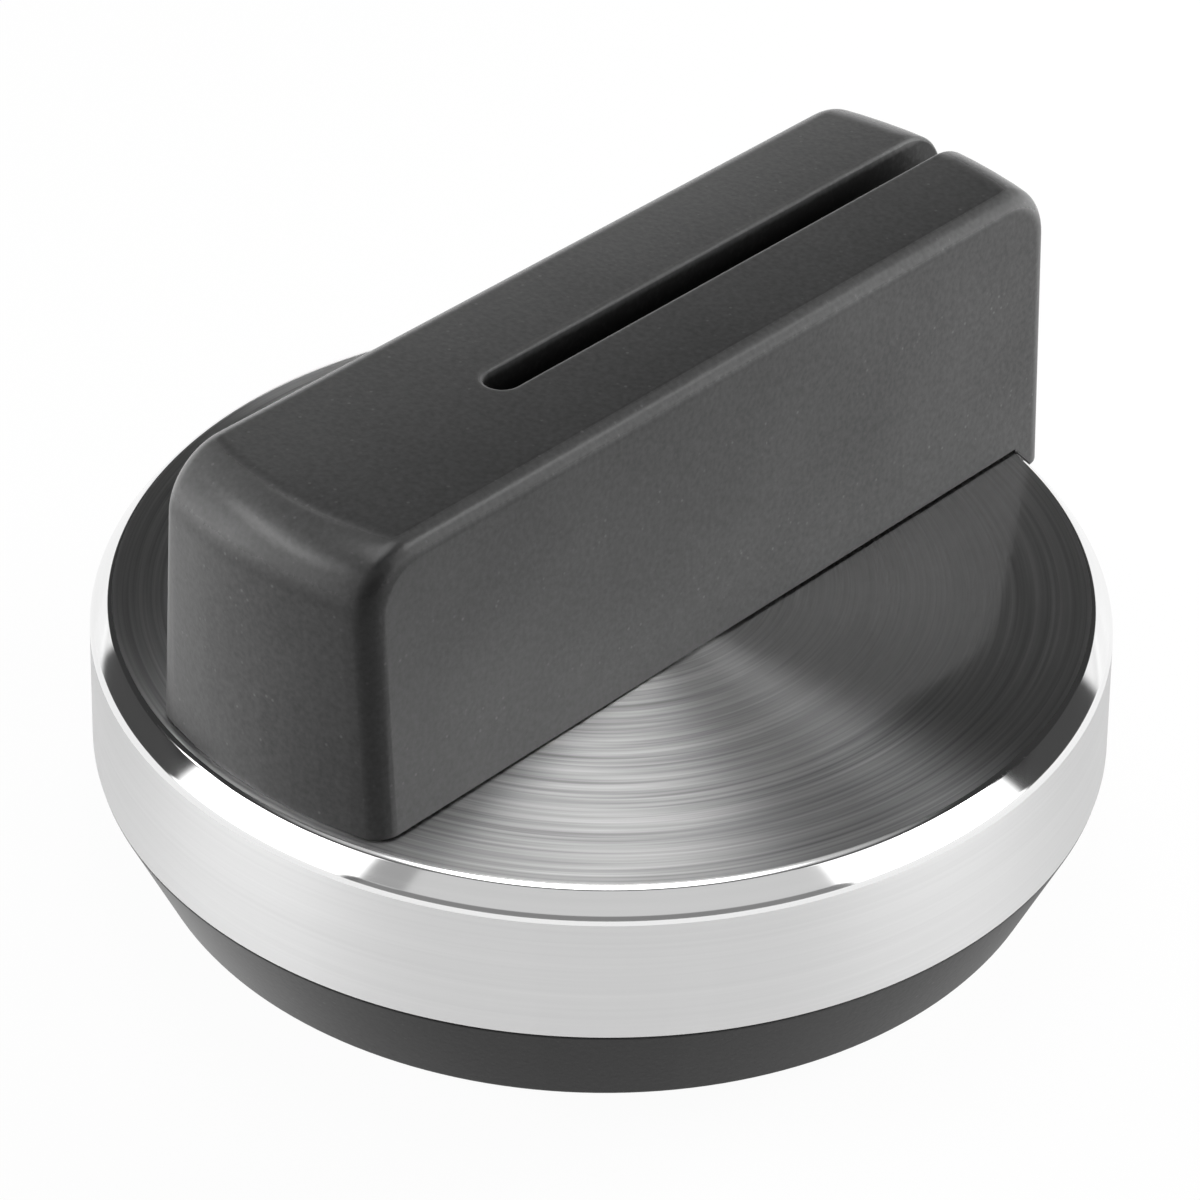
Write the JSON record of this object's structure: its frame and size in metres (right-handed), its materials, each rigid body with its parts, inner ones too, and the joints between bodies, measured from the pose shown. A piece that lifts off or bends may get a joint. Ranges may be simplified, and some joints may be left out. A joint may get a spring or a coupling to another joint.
{
  "type": "stove knob",
  "caption": "Round burner knob with a spun metal cap and a moulded grip bar with a pointer groove, on a moulded base with a D-shaped spindle socket.",
  "frame": {"origin": "on the spindle axis, in the plane of the base's lower rim", "axes": "+Z along the spindle axis away from the hob, +Y towards the pointer end of the grip bar"},
  "size_m": [0.0506, 0.0515, 0.0284],
  "materials": {
    "base_plastic": "charcoal moulded plastic with a fine grain",
    "grip_plastic": "charcoal moulded plastic with a fine spark-eroded grain",
    "spun_aluminium": "face turned in fine rings, bevel polished, skirt satin",
    "plated_steel": "bright zinc plate",
    "spring_steel": "bare spring steel",
    "screw_steel": "bright zinc plate"
  },
  "bodies": {
    "root": {"base": "base_plastic", "cap": "spun_aluminium", "grip": "grip_plastic", "hub_ring": "plated_steel", "spindle_spring": "spring_steel", "screw_tail": "screw_steel", "screw_nose": "screw_steel"}
  },
  "joints": []
}
